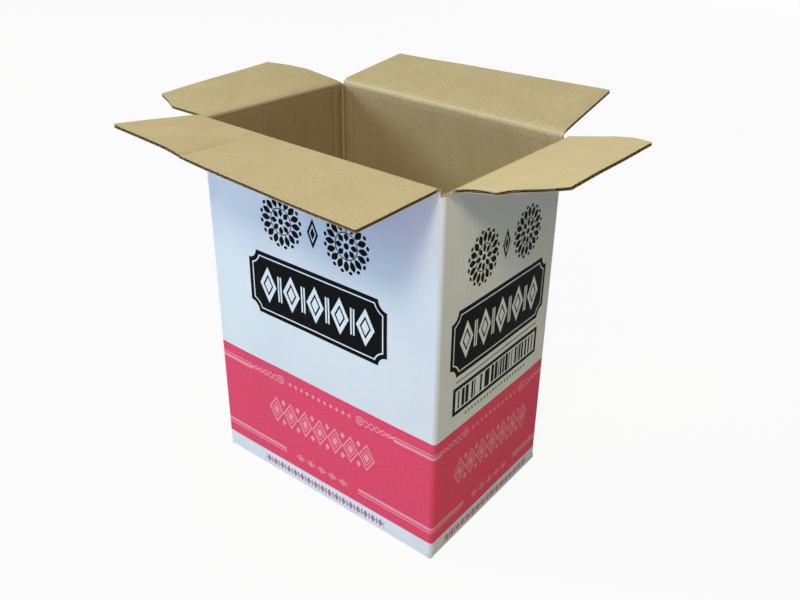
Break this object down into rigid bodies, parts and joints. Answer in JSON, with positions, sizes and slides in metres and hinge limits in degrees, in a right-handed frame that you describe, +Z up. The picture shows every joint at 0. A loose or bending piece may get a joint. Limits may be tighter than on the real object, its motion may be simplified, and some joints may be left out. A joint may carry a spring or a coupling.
{
  "type": "printed cardboard box",
  "caption": "Slotted shipping case of corrugated board, white and pink outside and brown inside, standing open with its top flaps folded out; the bottom is glued shut.",
  "frame": {"origin": "middle of the base, on the surface that the case stands on", "axes": "+Z up, -Y out of the long front wall, +X out of the short right wall"},
  "size_m": [0.4131, 0.3319, 0.3521],
  "materials": {
    "printed_board": "matte",
    "kraft_board": "matte"
  },
  "bodies": {
    "case": {"case_body": "printed_board"},
    "front_flap": {"front_flap": "kraft_board"},
    "back_flap": {"back_flap": "kraft_board"},
    "right_flap": {"right_flap": "kraft_board"},
    "left_flap": {"left_flap": "kraft_board"}
  },
  "joints": [
    {"name": "front_fold", "type": "hinge", "parent": "case", "child": "front_flap", "pos_m": [0, -0.08415, 0.33], "axis": [1, 0, 0], "range_deg": [-172, 88]},
    {"name": "right_fold", "type": "hinge", "parent": "case", "child": "right_flap", "pos_m": [0.12415, 0, 0.3271], "axis": [0, 1, 0], "range_deg": [-167.5, 92.5]},
    {"name": "back_fold", "type": "hinge", "parent": "case", "child": "back_flap", "pos_m": [0, 0.08415, 0.33], "axis": [-1, 0, 0], "range_deg": [-166.5, 93.5]},
    {"name": "left_fold", "type": "hinge", "parent": "case", "child": "left_flap", "pos_m": [-0.12415, 0, 0.3271], "axis": [0, -1, 0], "range_deg": [-182, 78]}
  ]
}
